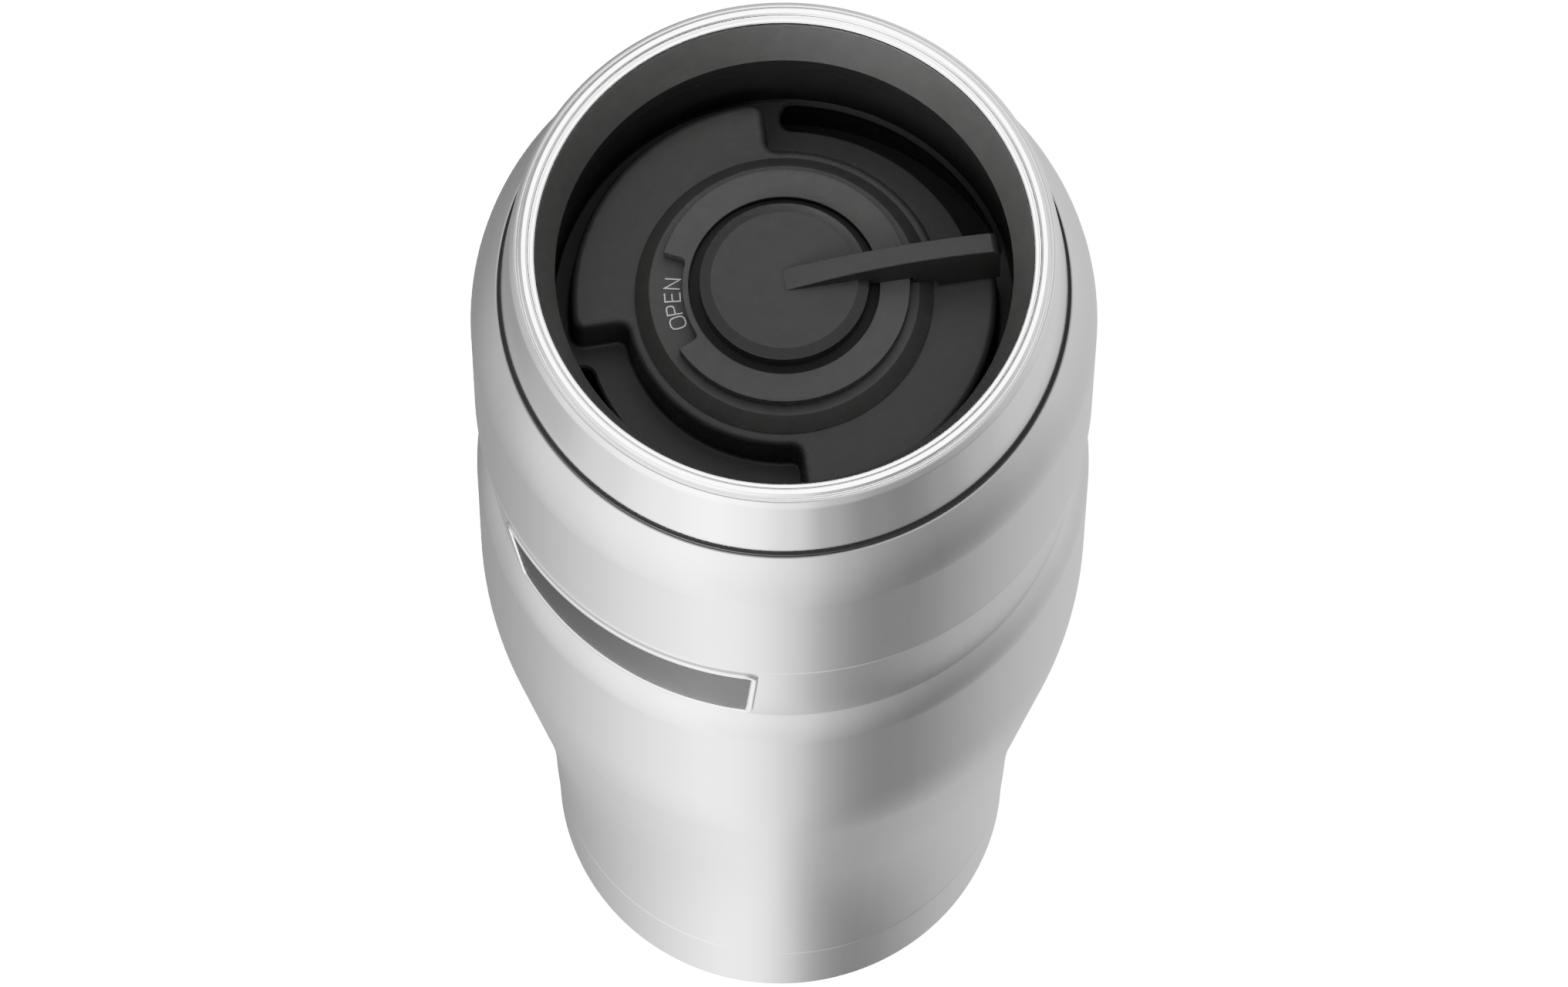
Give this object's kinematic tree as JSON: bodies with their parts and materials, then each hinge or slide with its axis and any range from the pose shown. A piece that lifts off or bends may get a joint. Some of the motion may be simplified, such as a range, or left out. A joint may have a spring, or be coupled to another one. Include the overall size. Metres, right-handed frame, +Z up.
{
  "type": "insulated travel mug",
  "caption": "Double-walled steel travel mug with a screw-in lid, whose lever turns a dial to open or close a drinking valve.",
  "frame": {"origin": "centre of the base, on the surface the mug stands on", "axes": "+Z up the mug's axis; the front, where the badge is read and the viewer stands, is -Y; +X is to the viewer's right"},
  "size_m": [0.0826, 0.0826, 0.1984],
  "materials": {
    "shell_steel": "satin stainless steel with very fine grain round the body",
    "inner_steel": "plain stainless steel",
    "lip_steel": "stainless steel, polished at the rolled lip",
    "badge_rim": "polished",
    "badge_field": "dark grey satin, plain",
    "lid_plastic": "black moulded plastic, fine texture",
    "dial_plastic": "charcoal moulded plastic, fine texture",
    "lever_plastic": "charcoal moulded plastic, smooth sides",
    "white_plastic": "natural acetal",
    "silicone": "black silicone",
    "seal_glass": "solder glass drop",
    "getter_metal": "sintered metal pellet"
  },
  "bodies": {
    "mug": {"outer_shell": "shell_steel", "base_cap": "shell_steel", "shell_bottom": "inner_steel", "vacuum_seal": "seal_glass", "getter": "getter_metal", "inner_vessel": "inner_steel", "badge_frame": "badge_rim", "badge_plate": "badge_field"},
    "lid": {"lid_skin": "lip_steel", "lid_collar": "lid_plastic", "lid_plug": "lid_plastic", "lid_gasket": "silicone", "seam_ring": "silicone", "lid_deck": "lid_plastic", "dial_base": "dial_plastic", "valve_guide": "white_plastic"},
    "dial": {"lever": "lever_plastic", "indicator_ring": "dial_plastic", "drive_shaft": "white_plastic", "shaft_o_ring": "silicone", "shaft_clip": "inner_steel", "cam_pin": "inner_steel"},
    "valve": {"valve_stem": "white_plastic", "valve_disc": "lid_plastic", "valve_seal": "silicone", "valve_screw": "inner_steel"}
  },
  "joints": [
    {"name": "lid_lift", "type": "slide", "parent": "mug", "child": "lid", "axis": [0, 0, 1], "range_m": [0, 0.045]},
    {"name": "lever_turn", "type": "hinge", "parent": "lid", "child": "dial", "pos_m": [0, 0, 0.185], "axis": [0, 0, 1], "range_deg": [-85, 0]},
    {"name": "valve_lift", "type": "slide", "parent": "lid", "child": "valve", "axis": [0, 0, 1], "range_m": [0, 0.004]}
  ],
  "couplings": [
    {"joint": "valve_lift", "follows": "lever_turn", "m_per_rad": -0.0026962}
  ]
}
